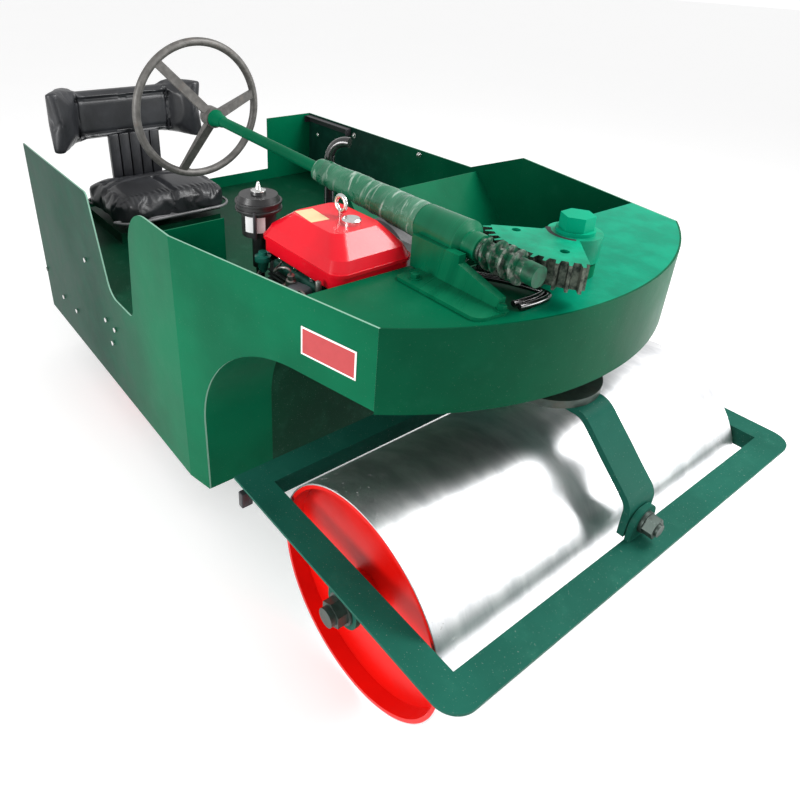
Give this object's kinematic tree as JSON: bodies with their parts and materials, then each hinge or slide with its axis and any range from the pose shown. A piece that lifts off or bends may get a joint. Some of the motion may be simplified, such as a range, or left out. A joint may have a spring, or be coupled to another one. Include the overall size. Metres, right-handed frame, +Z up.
{
  "type": "ride-on pitch roller",
  "caption": "Green ride-on roller with polished steel drums, an open driver's tub, a small engine and worm-and-sector steering of the front drum.",
  "frame": {"origin": "on the ground below the middle of the machine's bounding box", "axes": "+X forward, +Y to the driver's left, +Z up"},
  "size_m": [2.58, 1.426, 1.4059],
  "materials": {
    "green_paint": "gloss",
    "black_paint": "satin",
    "red_paint": "gloss",
    "polished_steel": "polished",
    "dull_steel": "dull",
    "chrome": "bright",
    "cast": "rough",
    "vinyl": "soft sheen"
  },
  "bodies": {
    "chassis": {"right_side_panel": "green_paint", "left_side_panel": "green_paint", "nose_panel": "green_paint", "nose_deck": "green_paint", "rear_panel": "green_paint", "floor_plate": "green_paint", "front_bulkhead": "green_paint", "sloped_bulkhead": "green_paint", "drum_guard": "green_paint", "right_arch_liner": "green_paint", "left_arch_liner": "green_paint", "engine_pan": "green_paint", "kingpin_beam": "green_paint", "kingpin_housing": "green_paint", "seat_pedestal": "green_paint", "tow_bracket": "green_paint", "rear_axle": "dull_steel", "rear_axle_brackets": "green_paint", "worm_housing": "green_paint", "column_sleeve": "green_paint", "engine_block": "cast", "flywheel": "cast", "fuel_tank": "red_paint", "fuel_cap": "chrome", "lifting_eye": "chrome", "air_cleaner": "black_paint", "exhaust_pipe": "black_paint", "seat_frame": "black_paint", "seat_cushion": "vinyl", "seat_back": "vinyl"},
    "front_frame": {"ring_frame": "green_paint", "yoke": "green_paint", "yoke_pins": "dull_steel", "turntable": "black_paint", "kingpin": "green_paint", "front_axle": "dull_steel", "axle_nuts": "green_paint", "steering_sector": "green_paint", "sector_nut": "green_paint"},
    "front_drum": {"front_drum": "polished_steel"},
    "rear_drum": {"rear_drum": "polished_steel"},
    "handwheel": {"steering_wheel": "dull_steel", "steering_shaft": "green_paint", "worm": "dull_steel"}
  },
  "joints": [
    {"name": "steer", "type": "hinge", "parent": "chassis", "child": "front_frame", "pos_m": [0.88, 0, 1], "axis": [0, 0, 1], "range_deg": [-18, 18]},
    {"name": "front_drum_spin", "type": "hinge", "parent": "front_frame", "child": "front_drum", "pos_m": [0.88, 0, 0.3], "axis": [0, 1, 0], "continuous": true},
    {"name": "rear_drum_spin", "type": "hinge", "parent": "chassis", "child": "rear_drum", "pos_m": [-0.62, 0, 0.3], "axis": [0, 1, 0], "continuous": true},
    {"name": "handwheel_turn", "type": "hinge", "parent": "chassis", "child": "handwheel", "pos_m": [-0.4621, -0.242, 1.15721], "axis": [0.9993, 0, -0.0366], "range_deg": [-864, 864]}
  ],
  "couplings": [
    {"joint": "handwheel_turn", "follows": "steer", "ratio": -48}
  ]
}
